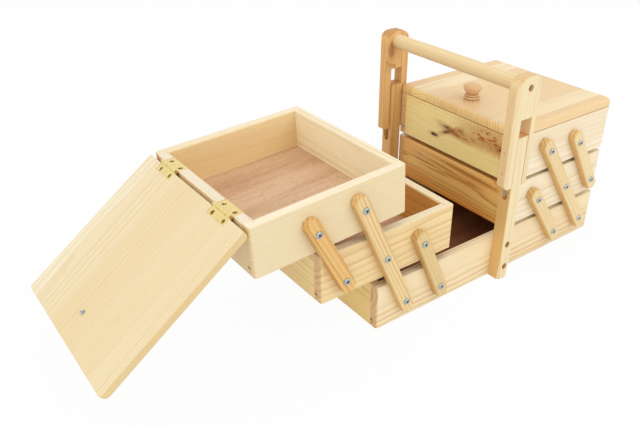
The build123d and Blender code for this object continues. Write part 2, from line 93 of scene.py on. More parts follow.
class Graph:
    """A node tree under construction, with short calls for the nodes that are used most."""

    def __init__(self, tree: bpy.types.NodeTree) -> None:
        """Takes an empty tree."""
        self.tree = tree

    def node(self, kind: str, given: Optional[Mapping[Union[str, int], Optional[Value]]] = None,
             **settings: object) -> bpy.types.Node:
        """Adds a node.

        Args:
            kind: The node's type name.
            given: What goes into its inputs, by name or number.
            settings: Properties to set on it.

        Returns:
            The new node.
        """
        made = self.tree.nodes.new(kind)
        for key, setting in settings.items():
            setattr(made, key, setting)
        for key, value in (given or {}).items():
            self.feed(made.inputs[key], value)
        return made

    def feed(self, target: Socket, value: Optional[Value]) -> None:
        """Links a socket to the target, or writes a plain value on it.

        Args:
            target: The input socket.
            value: An output socket, a number, three numbers or a colour code; None leaves the input alone.
        """
        if value is None:
            return
        if isinstance(value, Socket):
            self.tree.links.new(value, target)
        elif target.type == "RGBA":
            target.default_value = (*(tint(value) if isinstance(value, str) else value), 1.0)
        else:
            target.default_value = value

    def math(self, operation: str, a: Value, b: Optional[Value] = None) -> Socket:
        """Adds a Math node."""
        return self.node("ShaderNodeMath", {0: a, 1: b}, operation=operation).outputs[0]

    def vector(self, operation: str, a: Value, b: Optional[Value] = None) -> Socket:
        """Adds a Vector Math node, which gives a number for a length or a dot product."""
        made = self.node("ShaderNodeVectorMath", {0: a, 1: b}, operation=operation)
        return made.outputs["Value" if operation in ("LENGTH", "DOT_PRODUCT") else "Vector"]

    def part(self, vector: Socket, axis: int) -> Socket:
        """Gives one part of a vector."""
        return self.node("ShaderNodeSeparateXYZ", {0: vector}).outputs[axis]

    def along(self, axis: int, length: Value) -> Socket:
        """Makes a vector along one axis."""
        return self.node("ShaderNodeCombineXYZ", {axis: length}).outputs[0]

    def noise(self, place: Socket, scale: float, detail: float = 2.0, rough: float = 0.5) -> Socket:
        """Reads a noise between 0 and 1 that repeats at the same pace each way, in turns to a metre."""
        given = {"Vector": place, "Scale": scale, "Detail": detail, "Roughness": rough}
        return self.node("ShaderNodeTexNoise", given, noise_dimensions="3D").outputs[0]

    def grain(self, place: Socket, pace: Triple, detail: float = 2.0, rough: float = 0.5) -> Socket:
        """Reads a noise between 0 and 1 that has its own pace along each axis, in turns to a metre."""
        return self.noise(self.vector("MULTIPLY", place, pace), 1.0, detail, rough)

    def swing(self, noise: Socket, reach: float) -> Socket:
        """Turns a noise into a number that swings to both sides of nothing."""
        return self.math("MULTIPLY", self.math("SUBTRACT", noise, 0.5), reach)

    def draw(self, number: Socket) -> bpy.types.Node:
        """Draws a fixed random value and colour for each whole number."""
        return self.node("ShaderNodeTexWhiteNoise", {"W": number}, noise_dimensions="1D")

    def remap(self, value: Value, low: float, high: float, start: Value = 0.0, stop: Value = 1.0,
              smooth: bool = True) -> Socket:
        """Maps a range to another and holds the result inside it.

        Args:
            value: What is mapped.
            low: Value that gives start.
            high: Value that gives stop.
            start: Result at low.
            stop: Result at high.
            smooth: Whether the ends are eased.

        Returns:
            The mapped value.
        """
        given = dict(enumerate((value, low, high, start, stop)))
        kind = "SMOOTHSTEP" if smooth else "LINEAR"
        return self.node("ShaderNodeMapRange", given, interpolation_type=kind, clamp=True).outputs[0]

    def mix(self, amount: Value, a: Value, b: Value, blend: str = "MIX") -> Socket:
        """Lays an amount of the second colour over the first."""
        given = {"Factor": amount, 6: a, 7: b}
        return self.node("ShaderNodeMix", given, data_type="RGBA", blend_type=blend).outputs[2]


class Surface(Graph):
    """A material under construction: one Principled shader that reads Object coordinates."""

    def __init__(self, name: str) -> None:
        """Makes the material and its shader.

        Args:
            name: The material's name.
        """
        self.material = bpy.data.materials.new(name)
        self.material.use_nodes = True
        super().__init__(self.material.node_tree)
        self.tree.nodes.clear()
        self.shader = self.node("ShaderNodeBsdfPrincipled")
        self.output = self.node("ShaderNodeOutputMaterial", {"Surface": self.shader.outputs[0]})
        self.coordinates = self.node("ShaderNodeTexCoord")

    @property
    def place(self) -> Socket:
        """Object coordinates."""
        return self.coordinates.outputs["Object"]

    @property
    def normal(self) -> Socket:
        """The face's direction on the object."""
        return self.coordinates.outputs["Normal"]

    def seen_from(self, middle: Sequence[float], turn: Sequence[float],
                  scale: Sequence[float] = (1.0, 1.0, 1.0)) -> Socket:
        """Gives the place as it is seen from a point of its own.

        Args:
            middle: The point, in metres.
            turn: How the axes are turned there.
            scale: How long a step along each axis is there.

        Returns:
            The place, measured from the point along its axes.
        """
        given = {"Vector": self.place, "Location": middle, "Rotation": turn, "Scale": scale}
        return self.node("ShaderNodeMapping", given, vector_type="TEXTURE").outputs[0]

    def edge(self, radius: float, strength: float) -> Socket:
        """Marks sharp edges.

        Args:
            radius: How far from an edge the mark reaches, in metres.
            strength: The mark on an edge.

        Returns:
            0 on flat ground, up to the strength on an edge.
        """
        rounded = self.node("ShaderNodeBevel", {"Radius": radius}, samples=4)
        plain = self.node("ShaderNodeNewGeometry")
        agreement = self.vector("DOT_PRODUCT", rounded.outputs[0], plain.outputs["Normal"])
        return self.remap(agreement, 0.995, 0.80, 0.0, strength, smooth=False)

    def coat(self, colour: Socket, rough: Socket, height: Socket, strength: float,
             depth: float) -> bpy.types.Material:
        """Gives the shader its colour, its roughness and its fine relief.

        Args:
            colour: The colour.
            rough: The roughness.
            height: The relief's pattern.
            strength: How strong the relief is.
            depth: How deep it is, in metres.

        Returns:
            The finished material.
        """
        self.feed(self.shader.inputs["Base Color"], colour)
        self.feed(self.shader.inputs["Roughness"], rough)
        relief = self.node("ShaderNodeBump", {"Strength": strength, "Distance": depth, "Height": height})
        self.feed(self.shader.inputs["Normal"], relief.outputs[0])
        return self.material


# ---- finishes

@dataclass(frozen=True)
class Knot:
    """A knot on a board: its middle and its reach each way, in millimetres, and its slant in degrees."""

    centre: Triple
    reach: Triple
    core: str
    strength: float = 1.0
    slant: float = 0.0
    specks: bool = False


@dataclass(frozen=True)
class PineFinish:
    """Sanded pine. Growth rings stand round a pith line, so faces, edges and end grain of a board agree. The
    flank and inside colours also carry painted light and shade.
    """

    early: str = "F4E4BD"
    late: str = "E0BD80"
    # Colour of faces that are neither show face nor end grain: partly the wood's tone and partly painted
    # light, paler on rims lit from above and warmer or darker where painted shade falls.
    flank_tone_and_light: str = "F6EACB"
    end: str = "E6C48E"
    end_line: str = "BE8650"
    patch: str = "E3BC7C"
    ring_gap: float = 3.6
    contrast: float = 0.75
    wander: float = 7.0
    streaks: float = 0.30
    patches: float = 0.35
    strip: float = 0.0
    # Colour of faces turned away from the show face, a painted light: warm amber for the shade and bounce
    # light on inner walls, pale where an inner face stands in light.
    inside: str = ""
    roughness: float = 0.46

    # Colours that every piece of pine shares.
    EDGE_WEAR = "A87438"
    GLUE_LINE = "8F6234"
    RESIN_DUCT = "B98A50"
    FIBRE_SHADE = (0.92, 0.84, 0.70)
    KNOT_HALO = "C48A48"
    KNOT_RING = "8A5527"

    # How often each pattern repeats in a metre, along the grain and across it.
    WANDER_PACE = (3.2, 14.0, 14.0)
    PATCH_PACE = (2.5, 16.0, 16.0)
    FIBRE_PACE = (28.0, 900.0, 900.0)
    DUCT_PACE = (75.0, 1500.0, 1500.0)
    RELIEF_PACE = (35.0, 1300.0, 1300.0)
    SPECK_PACE = (110.0, 110.0, 300.0)

    # How far a strip's place in the log can differ from its neighbour's, in metres, and its first draw.
    STRIP_SHIFT = (0.9, 0.10, 0.07)
    STRIP_DRAW = 3.7

    # How far rings give way to a knot and how uneven they are, in metres, and how often that repeats in one.
    KNOT_PUSH = 0.011
    UNEVEN, UNEVEN_PACE = 0.006, 110.0

    # How ragged a knot's rim is, as a share of its reach, and how often that repeats in a metre.
    RAGGED, RAGGED_PACE = 0.9, 260.0

    def material(self, name: str, origin: Vector, grain: Vector, face: Vector, pith: Pair,
                 knots: Sequence[Knot] = ()) -> bpy.types.Material:
        """Builds the finish for one board.

        Args:
            name: The material's name.
            origin: Middle of the board, in metres.
            grain: Direction of the grain.
            face: Direction of the board's show face.
            pith: Middle of the log, across the face and out of it from the board's middle, in millimetres.
            knots: The board's knots.

        Returns:
            The material.
        """
        surface = Surface(name)
        along, out = grain.normalized(), face.normalized()
        across = out.cross(along)
        basis = Matrix((along, across, out)).transposed()
        heart = origin + across * pith[0] * MM + out * pith[1] * MM
        log_place = surface.seen_from(heart, basis.to_euler())
        glue: Optional[Socket] = None
        strip_tone: Optional[Socket] = None
        if self.strip:
            log_place, glue, strip_tone = self._glued_strips(surface, log_place)
        marks = [self._knot_distance(surface, knot) for knot in knots]
        rings = self._rings(surface, log_place, marks)
        colour = self._colour(surface, log_place, rings, along, out)
        for knot, distance in zip(knots, marks):
            colour = self._stain(surface, colour, knot, distance)
        if glue is not None:
            colour = surface.mix(surface.remap(strip_tone, 0.1, 0.9, 0.0, 0.45), colour, self.patch)
            colour = surface.mix(glue, colour, self.GLUE_LINE)
        colour = surface.mix(surface.edge(0.55 * MM, 0.30), colour, self.EDGE_WEAR)
        fibre = surface.grain(log_place, self.RELIEF_PACE)
        rough = surface.remap(fibre, 0.3, 0.7, self.roughness - 0.06, self.roughness + 0.08)
        relief = surface.math("ADD", fibre, surface.math("MULTIPLY", rings, 0.8))
        return surface.coat(colour, rough, relief, 0.22, 0.12 * MM)

    def _glued_strips(self, surface: Surface, log_place: Socket) -> tuple[Socket, Socket, Socket]:
        """Cuts the board into edge-glued strips, each from its own place in the log.

        Args:
            surface: The material.
            log_place: Place in the log, x along the grain and y across the face.

        Returns:
            The place moved for each strip, a mark on the glue lines, and a number for each strip's tone.
        """
        position = surface.math("DIVIDE", surface.part(log_place, 1), self.strip * MM)
        pick = surface.draw(surface.math("ADD", surface.math("FLOOR", position), self.STRIP_DRAW))
        swing = surface.vector("SUBTRACT", pick.outputs["Color"], (0.5, 0.5, 0.5))
        shift = surface.vector("MULTIPLY", swing, self.STRIP_SHIFT)
        away = surface.math("ABSOLUTE", surface.math("SUBTRACT", surface.math("FRACT", position), 0.5))
        line = surface.remap(away, 0.490, 0.498, 0.0, 0.15)
        return surface.vector("ADD", log_place, shift), line, pick.outputs["Value"]

    def _knot_distance(self, surface: Surface, knot: Knot) -> Socket:
        """Measures how far a place is from a knot.

        Args:
            surface: The material.
            knot: The knot.

        Returns:
            The distance, 1 at the knot's rim.
        """
        middle, reach = Vector(knot.centre) * MM, Vector(knot.reach) * MM
        near = surface.seen_from(middle, (math.radians(knot.slant), 0.0, 0.0), reach)
        wobble = surface.swing(surface.noise(surface.place, self.RAGGED_PACE), self.RAGGED)
        return surface.math("ADD", surface.vector("LENGTH", near), wobble)

    def _rings(self, surface: Surface, log_place: Socket, marks: Sequence[Socket]) -> Socket:
        """Draws the growth rings.

        Args:
            surface: The material.
            log_place: Place in the log.
            marks: Distances from the knots, which the rings bend round.

        Returns:
            0 in spring wood, up to 1 in the dark line that ends a ring.
        """
        radius = surface.vector("LENGTH", surface.vector("MULTIPLY", log_place, (0.0, 1.0, 1.0)))
        slow = surface.grain(log_place, self.WANDER_PACE)
        radius = surface.math("ADD", radius, surface.swing(slow, 2 * self.wander * MM))
        for distance in marks:
            spread = surface.math("ADD", surface.math("MULTIPLY", distance, distance), 1.0)
            radius = surface.math("ADD", radius, surface.math("DIVIDE", self.KNOT_PUSH, spread))
        uneven = surface.noise(surface.along(0, radius), self.UNEVEN_PACE, 1.0)
        radius = surface.math("ADD", radius, surface.swing(uneven, self.UNEVEN))
        count = surface.math("DIVIDE", radius, self.ring_gap * MM)
        inside = surface.math("FRACT", count)
        rise = surface.math("POWER", inside, 2.6)
        fall = surface.remap(inside, 0.93, 1.0, 1.0, 0.0)
        pick = surface.draw(surface.math("FLOOR", count))
        weight = surface.remap(pick.outputs["Value"], 0.0, 1.0, 0.35, 1.0, smooth=False)
        return surface.math("MULTIPLY", surface.math("MULTIPLY", rise, fall), weight)

    def _colour(self, surface: Surface, log_place: Socket, rings: Socket, along: Vector,
                out: Vector) -> Socket:
        """Colours the wood.

        Args:
            surface: The material.
            log_place: Place in the log.
            rings: The ring pattern.
            along: Direction of the grain.
            out: Direction of the show face.

        Returns:
            The colour before knots and edges.
        """
        facing = surface.vector("DOT_PRODUCT", surface.normal, out)
        face_on = surface.math("ABSOLUTE", facing)
        end_on = surface.math("ABSOLUTE", surface.vector("DOT_PRODUCT", surface.normal, along))
        end_mark = surface.remap(end_on, 0.45, 0.85)
        # Painted light and shade: flank faces take the flank colour in place of the early wood.
        ground = surface.mix(surface.remap(face_on, 0.35, 0.95), self.flank_tone_and_light, self.early)
        # Painted shade and light: inner faces take the inside colour.
        if self.inside:
            ground = surface.mix(surface.remap(facing, -0.7, -0.95), ground, self.inside)
        ground = surface.mix(end_mark, ground, self.end)
        broad = surface.grain(log_place, self.PATCH_PACE, 3.0)
        ground = surface.mix(surface.remap(broad, 0.42, 0.72, 0.0, self.patches), ground, self.patch)
        end_contrast = min(1.0, self.contrast + 0.2)
        strong = surface.remap(end_mark, 0.0, 1.0, self.contrast, end_contrast, smooth=False)
        line_colour = surface.mix(end_mark, self.late, self.end_line)
        colour = surface.mix(surface.math("MULTIPLY", rings, strong), ground, line_colour)
        fibre = surface.remap(surface.grain(log_place, self.FIBRE_PACE), 0.35, 0.75, 0.0, self.streaks)
        colour = surface.mix(fibre, colour, surface.mix(1.0, colour, self.FIBRE_SHADE, "MULTIPLY"))
        ducts = surface.remap(surface.grain(log_place, self.DUCT_PACE, 0.0), 0.70, 0.82, 0.0, 0.22)
        return surface.mix(ducts, colour, self.RESIN_DUCT)

    def _stain(self, surface: Surface, colour: Socket, knot: Knot, distance: Socket) -> Socket:
        """Darkens the wood in and round a knot.

        Args:
            surface: The material.
            colour: The colour so far.
            knot: The knot.
            distance: Distance from it, 1 at its rim.

        Returns:
            The stained colour.
        """
        halo = surface.remap(distance, 0.9, 2.6, 0.55 * knot.strength, 0.0)
        colour = surface.mix(halo, colour, self.KNOT_HALO)
        ring = surface.math("FRACT", surface.math("MULTIPLY", distance, 4.0))
        core = surface.mix(surface.math("MULTIPLY", ring, 0.5), knot.core, self.KNOT_RING)
        inside = surface.remap(distance, 0.75, 1.1, knot.strength, 0.0)
        if knot.specks:
            crumbs = surface.grain(surface.place, self.SPECK_PACE, 4.0, 0.75)
            inside = surface.math("MULTIPLY", inside, surface.remap(crumbs, 0.46, 0.62))
        return surface.mix(inside, colour, core)


@dataclass(frozen=True)
class PlywoodFinish:
    """Reddish plywood face with short open pores along the grain, which runs along X."""

    ground: str = "DDBB98"
    dark: str = "C69C78"
    ribbon: str = "CFA27E"
    pore: str = "946649"

    # How often each pattern repeats in a metre, along the grain and across it.
    CLOUD_PACE = (6.0, 34.0, 34.0)
    RIBBON_PACE = (10.0, 260.0, 260.0)
    PORE_PACE = (150.0, 1500.0, 1500.0)

    def material(self, name: str) -> bpy.types.Material:
        """Builds the finish.

        Args:
            name: The material's name.

        Returns:
            The material.
        """
        surface = Surface(name)
        broad = surface.grain(surface.place, self.CLOUD_PACE, 3.0, 0.6)
        colour = surface.mix(surface.remap(broad, 0.35, 0.7), self.ground, self.dark)
        ribbon = surface.grain(surface.place, self.RIBBON_PACE)
        colour = surface.mix(surface.remap(ribbon, 0.4, 0.75, 0.0, 0.5), colour, self.ribbon)
        pores = surface.grain(surface.place, self.PORE_PACE, 1.0)
        pits = surface.remap(pores, 0.58, 0.72)
        colour = surface.mix(surface.math("MULTIPLY", pits, 0.55), colour, self.pore)
        rough = surface.remap(pores, 0.3, 0.7, 0.5, 0.66)
        return surface.coat(colour, rough, surface.math("SUBTRACT", 1.0, pits), 0.3, 0.15 * MM)


@dataclass(frozen=True)
class MetalFinish:
    """Plated metal with a faint brushed pattern, fine specks of tarnish, painted shade in the drive recesses
    and a painted highlight on sharp edges.
    """

    bright: str
    dull: str
    # Colour of the tarnish specks and of the painted shade in the drive recesses.
    recess: str
    roughness: float
    brush: Triple
    mottle: float

    # How often the clouds and the specks repeat in a metre.
    CLOUD_PACE, SPECK_PACE = 190.0, 1500.0

    def material(self, name: str) -> bpy.types.Material:
        """Builds the finish.

        Args:
            name: The material's name.

        Returns:
            The material.
        """
        surface = Surface(name)
        cloud = surface.noise(surface.place, self.CLOUD_PACE, 3.0, 0.6)
        colour = surface.mix(surface.remap(cloud, 0.35, 0.72, 0.0, self.mottle), self.bright, self.dull)
        speck = surface.noise(surface.place, self.SPECK_PACE, 1.0)
        colour = surface.mix(surface.remap(speck, 0.70, 0.85, 0.0, 0.2), colour, self.recess)
        # Painted shade: points marked sunk in the drive recess are darkened towards the recess colour.
        sunk = surface.node("ShaderNodeAttribute", attribute_name="sunk").outputs["Fac"]
        colour = surface.mix(surface.remap(sunk, 0.2, 0.9, 0.0, 0.8), colour, self.recess)
        # Painted highlight: sharp edges are lightened towards white.
        colour = surface.mix(surface.edge(0.25 * MM, 0.4), colour, "FFFFFF")
        surface.shader.inputs["Metallic"].default_value = 1.0
        lines = surface.grain(surface.place, self.brush)
        rough = surface.remap(lines, 0.3, 0.7, self.roughness - 0.05, self.roughness + 0.10)
        return surface.coat(colour, rough, lines, 0.12, 0.04 * MM)


@dataclass(frozen=True)
class TurnedFinish:
    """Turned hardwood: rings cut through by the lathe, with painted shade in the grooves."""

    ground: str = "E8C493"
    dark: str = "C8925A"
    # Colour of the painted shade in the grooves.
    groove: str = "A06434"

    # How far the tree's middle is from the lathe's, in metres, and how often each pattern repeats in one.
    TREE_MIDDLE = (0.021, 0.013, 0.0)
    RINGS_PACE = 420.0
    WAVE_PACE = (90.0, 90.0, 30.0)
    FIBRE_PACE = (800.0, 800.0, 90.0)

    def material(self, name: str, centre: Vector, axis: Vector,
                 grooves: Sequence[float] = ()) -> bpy.types.Material:
        """Builds the finish.

        Args:
            name: The material's name.
            centre: A point on the axis, in metres.
            axis: Direction of the axis.
            grooves: Heights along the axis, in millimetres, that get painted shade.

        Returns:
            The material.
        """
        surface = Surface(name)
        place = surface.seen_from(centre, axis.to_track_quat("Z", "Y").to_euler())
        sideways = surface.vector("ADD", place, self.TREE_MIDDLE)
        radius = surface.vector("LENGTH", surface.vector("MULTIPLY", sideways, (1.0, 1.0, 0.05)))
        wave = surface.math("MULTIPLY", surface.grain(place, self.WAVE_PACE), 2.4)
        count = surface.math("ADD", surface.math("MULTIPLY", radius, self.RINGS_PACE), wave)
        rings = surface.math("POWER", surface.math("FRACT", count), 2.0)
        colour = surface.mix(surface.math("MULTIPLY", rings, 0.55), self.ground, self.dark)
        fibre = surface.grain(place, self.FIBRE_PACE, 1.0)
        colour = surface.mix(surface.remap(fibre, 0.45, 0.75, 0.0, 0.5), colour, self.dark)
        height = surface.part(place, 2)
        # Painted shade: darkened bands at the grooves.
        for groove in grooves:
            away = surface.math("ABSOLUTE", surface.math("SUBTRACT", height, groove * MM))
            colour = surface.mix(surface.remap(away, 0.3 * MM, 1.1 * MM, 0.75, 0.0), colour, self.groove)
        return surface.coat(colour, surface.remap(fibre, 0.3, 0.7, 0.38, 0.52), fibre, 0.2, 0.1 * MM)


# The third colour of each metal is for tarnish specks and for the painted shade in drive recesses.
ZINC = MetalFinish("C2CCD2", "8C9CA6", "16242C", 0.34, (900.0, 60.0, 900.0), 0.5)
BRASS = MetalFinish("F2DC98", "D8B766", "6A5428", 0.22, (60.0, 400.0, 400.0), 0.25)
# The leaf screws get a darker brass than the leaves, partly older metal and partly painted shade round their
# sunk heads.
BRASS_SCREW = MetalFinish("B08A3C", "6E5220", "1C1407", 0.26, (400.0, 400.0, 400.0), 0.6)


# ---- screws, placed by Geometry Nodes

class Drive(Enum):
    """The recess in a screw's head."""

    CROSS = "cross"
    SLOT = "slot"


@dataclass(frozen=True)
class ScrewShape:
    """Sizes of one kind of screw, in millimetres. Its rim's top is at the height it is placed at."""

    head_radius: float
    dome: float
    rim: float
    blade_reach: float
    blade_width: float
    blade_depth: float
    shank_radius: float
    shank_length: float
    taper: float = 0.0
    drive: Drive = Drive.CROSS
    metal: MetalFinish = ZINC


ARM_SCREW = ScrewShape(head_radius=3.8, dome=1.2, rim=0.8, blade_reach=2.3, blade_width=1.15,
                       blade_depth=1.6, shank_radius=2.0, shank_length=18.0)
DEEP_SCREW = ScrewShape(head_radius=3.4, dome=1.2, rim=0.8, blade_reach=2.1, blade_width=1.0,
                        blade_depth=1.8, shank_radius=1.9, shank_length=19.0)
KNOB_SCREW = ScrewShape(head_radius=2.2, dome=0.3, rim=0.8, blade_reach=0.9, blade_width=0.35,
                        blade_depth=0.6, shank_radius=1.7, shank_length=25.0, taper=0.25)
LEAF_SCREW = ScrewShape(head_radius=2.62, dome=0.35, rim=1.2, blade_reach=3.2, blade_width=0.8,
                        blade_depth=0.95, shank_radius=1.3, shank_length=7.5, taper=0.55,
                        drive=Drive.SLOT, metal=BRASS_SCREW)


@dataclass(frozen=True)
class Spot:
    """Where a screw is, in metres, and the way its head faces."""

    place: Vector
    out: Vector


class ScrewTree(Graph):
    """A Geometry Nodes tree that makes one screw and sets it on every point, its head turned at random."""

    LENGTHS = ("Head Radius", "Dome", "Rim", "Blade Reach", "Blade Width", "Blade Depth", "Shank Radius",
               "Shank Length")
    INPUTS = {**dict.fromkeys(LENGTHS + ("Taper",), "NodeSocketFloat"), "Cross": "NodeSocketBool",
              "Seed": "NodeSocketInt", "Metal": "NodeSocketMaterial"}
    HEAD_STEPS, HEAD_SIDES = 16, 32
    SHANK_STEPS, SHANK_SIDES = 22, 12
    POINT_LENGTH, POINT_SHARE = 3.0 * MM, 0.15
    DOME_SHARE = 0.985
    RECESS_REACH, RECESS_DEPTH = 0.9, 0.55
    THINNEST_DOME = 0.01 * MM

    def __init__(self) -> None:
        """Builds the tree."""
        tree = bpy.data.node_groups.new("screw_rows", "GeometryNodeTree")
        super().__init__(tree)
        tree.interface.new_socket("Points", in_out="INPUT", socket_type="NodeSocketGeometry")
        for label, kind in self.INPUTS.items():
            tree.interface.new_socket(label, in_out="INPUT", socket_type=kind)
        tree.interface.new_socket("Screws", in_out="OUTPUT", socket_type="NodeSocketGeometry")
        self.given = self.node("NodeGroupInput").outputs
        whole = self.node("GeometryNodeJoinGeometry")
        for piece in (self._head(), self._shank()):
            self.feed(whole.inputs[0], piece)
        self._place(whole.outputs[0])

    def identifier(self, label: str) -> str:
        """Gives the modifier's key for an input."""
        return next(item.identifier for item in self.tree.interface.items_tree
                    if item.item_type == "SOCKET" and item.in_out == "INPUT" and item.name == label)

    def _bar(self, top: Value, bottom: Value, steps: int, sides: int,
             radius_of: Callable[[Socket], Socket]) -> Socket:
        """Lofts a round bar down Z.

        Args:
            top: Height of its top.
            bottom: Height of its bottom.
            steps: Points along it.
            sides: Faces round it.
            radius_of: Gives the radius from a height.

        Returns:
            The bar's mesh.
        """
        ends = {"Start": self.along(2, top), "End": self.along(2, bottom)}
        line = self.node("GeometryNodeCurvePrimitiveLine", ends)
        dense = self.node("GeometryNodeResampleCurve", {"Curve": line.outputs[0], "Count": steps})
        height = self.part(self.node("GeometryNodeInputPosition").outputs[0], 2)
        ring = self.node("GeometryNodeCurvePrimitiveCircle", {"Resolution": sides, "Radius": 1.0})
        given = {"Curve": dense.outputs[0], "Profile Curve": ring.outputs[0], "Scale": radius_of(height),
                 "Fill Caps": True}
        return self.node("GeometryNodeCurveToMesh", given).outputs[0]

    def _head_radius(self, height: Socket) -> Socket:
        """Shapes the head: a dome over a straight or tapering rim.

        Args:
            height: Height over the rim's top.

        Returns:
            The head's radius there.
        """
        share = self.math("DIVIDE", height, self.math("MAXIMUM", self.given["Dome"], self.THINNEST_DOME))
        share = self.math("MINIMUM", self.math("MAXIMUM", share, 0.0), self.DOME_SHARE)
        dome = self.math("SQRT", self.math("SUBTRACT", 1.0, self.math("MULTIPLY", share, share)))
        depth = self.math("MAXIMUM", self.math("MULTIPLY", height, -1.0), 0.0)
        below = self.math("DIVIDE", depth, self.given["Rim"])
        waist = self.math("SUBTRACT", 1.0, self.math("MULTIPLY", below, self.given["Taper"]))
        return self.math("MULTIPLY", self.given["Head Radius"], self.math("MULTIPLY", dome, waist))

    def _head(self) -> Socket:
        """Makes the head with its recess, and marks the recess for painted shade.

        Returns:
            The head's mesh.
        """
        bottom = self.math("MULTIPLY", self.given["Rim"], -1.0)
        body = self._bar(self.given["Dome"], bottom, self.HEAD_STEPS, self.HEAD_SIDES, self._head_radius)
        blades = [self._blade(0.0), self._blade(math.pi / 2)]
        union = self.node("GeometryNodeMeshBoolean", operation="UNION")
        for blade in blades:
            self.feed(union.inputs[1], blade)
        cutters = {0: self.given["Cross"], 1: blades[0], 2: union.outputs[0]}
        choice = self.node("GeometryNodeSwitch", cutters, input_type="GEOMETRY")
        cut = self.node("GeometryNodeMeshBoolean", {0: body, 1: choice.outputs[0]}, operation="DIFFERENCE")
        return self._mark_recess(cut.outputs[0])

    def _blade(self, turn: float) -> Socket:
        """Makes one blade of the driver.

        Args:
            turn: How far it is turned about Z, in radians.

        Returns:
            The blade's mesh.
        """
        size = self.node("ShaderNodeCombineXYZ", {0: self.math("MULTIPLY", self.given["Blade Reach"], 2.0),
                                                  1: self.given["Blade Width"],
                                                  2: self.math("MULTIPLY", self.given["Blade Depth"], 2.0)})
        cube = self.node("GeometryNodeMeshCube", {"Size": size.outputs[0]})
        moved = {"Geometry": cube.outputs[0], "Translation": self.along(2, self.given["Dome"]),
                 "Rotation": (0.0, 0.0, turn)}
        return self.node("GeometryNodeTransform", moved).outputs[0]

    def _mark_recess(self, head: Socket) -> Socket:
        """Marks the points of the recess that are well under the dome, where the metal paints shade.

        Args:
            head: The head's mesh.

        Returns:
            The mesh with its mark.
        """
        place = self.node("GeometryNodeInputPosition").outputs[0]
        away = self.vector("LENGTH", self.vector("MULTIPLY", place, (1.0, 1.0, 0.0)))
        reach = self.math("MULTIPLY", self.given["Head Radius"], self.RECESS_REACH)
        near = self.math("LESS_THAN", away, reach)
        depth = self.math("SUBTRACT", self.given["Dome"], self.part(place, 2))
        share = self.math("DIVIDE", depth, self.given["Blade Depth"])
        deep = self.math("GREATER_THAN", share, self.RECESS_DEPTH)
        mark = {"Geometry": head, "Name": "sunk", "Value": self.math("MULTIPLY", near, deep)}
        store = self.node("GeometryNodeStoreNamedAttribute", mark, data_type="FLOAT", domain="POINT")
        return store.outputs[0]

    def _shank_radius(self, height: Socket) -> Socket:
        """Shapes the shank, which narrows to a blunt point.

        Args:
            height: Height over the rim's top.

        Returns:
            The shank's radius there.
        """
        left = self.math("ADD", height, self.given["Shank Length"])
        share = self.math("MAXIMUM", self.math("DIVIDE", left, self.POINT_LENGTH), self.POINT_SHARE)
        return self.math("MULTIPLY", self.given["Shank Radius"], self.math("MINIMUM", share, 1.0))

    def _shank(self) -> Socket:
        """Makes the shank.

        Returns:
            The shank's mesh.
        """
        top = self.math("MULTIPLY", self.given["Rim"], -0.9)
        bottom = self.math("MULTIPLY", self.given["Shank Length"], -1.0)
        return self._bar(top, bottom, self.SHANK_STEPS, self.SHANK_SIDES, self._shank_radius)

    def _place(self, screw: Socket) -> None:
        """Sets the screw on every point, turns it, makes it real and gives it its metal.

        Args:
            screw: The screw's mesh.
        """
        aim = self.node("GeometryNodeInputNamedAttribute", {"Name": "aim"}, data_type="FLOAT_VECTOR")
        facing = self.node("FunctionNodeAlignRotationToVector", {"Vector": aim.outputs[0]}, axis="Z")
        limits = {2: 0.0, 3: math.pi, "Seed": self.given["Seed"]}
        angle = self.node("FunctionNodeRandomValue", limits, data_type="FLOAT")
        turns = {0: facing.outputs[0], 1: self.along(2, angle.outputs[1])}
        turned = self.node("FunctionNodeRotateRotation", turns, rotation_space="LOCAL")
        where = {"Points": self.given["Points"], "Instance": screw, "Rotation": turned.outputs[0]}
        rows = self.node("GeometryNodeInstanceOnPoints", where)
        real = self.node("GeometryNodeRealizeInstances", {0: rows.outputs[0]})
        metal = {"Geometry": real.outputs[0], "Material": self.given["Metal"]}
        plated = self.node("GeometryNodeSetMaterial", metal)
        self.node("NodeGroupOutput", {0: plated.outputs[0]})


# ---- the pieces of wood

@dataclass(frozen=True)
class Stock:
    """The piece of wood that a board was cut from: its finish, where the log's middle is, and its knots."""

    finish: PineFinish
    pith: Pair
    knots: tuple[Knot, ...] = ()


PALE = PineFinish(early="F8EBCC")
CREAM = PineFinish(early="EEDDB6", late="E4C998", flank_tone_and_light="F8EDD2", end="F0DAAC", end_line="D6AC72",
                   contrast=0.35, patches=0.12)
# AMBER, HONEY, ROUGH_END and MIDDLE_END dress end boards that face -X; their warm, saturated colour is
# partly the wood's own and partly painted warm shade.
AMBER = PineFinish(early="FFE9AC", late="DCA04C", flank_tone_and_light="F6DCA0", patches=0.25, ring_gap=5.0)
HONEY = PineFinish(early="FFE298", late="D8983E", flank_tone_and_light="F6D690", patches=0.25, ring_gap=5.0)
GOLDEN = PineFinish(early="F4DCA6", late="D3A05C", ring_gap=6.5, wander=11.0, patches=0.3)
STRIPED = PineFinish(early="F2DBA4", late="C4823A", flank_tone_and_light="E6BE7C", end="E8C486", end_line="9C5F2C",
                     contrast=1.0, ring_gap=3.4)
ARM_PALE = PineFinish(early="EFD9A8", late="DDB478", flank_tone_and_light="E2BA78", end="E6C285", end_line="A86C38",
                      contrast=0.6, ring_gap=4.6)
ARM_WARM = PineFinish(early="E4CB94", late="D0A466", flank_tone_and_light="D5AB68", end="D9B474", end_line="A06634",
                      contrast=0.6, ring_gap=4.6)
ARM_AMBER = PineFinish(early="EDC278", late="A86422", flank_tone_and_light="DDA552", end="E6BE78", end_line="9A5C2A",
                       contrast=1.0, ring_gap=4.2, patches=0.1)
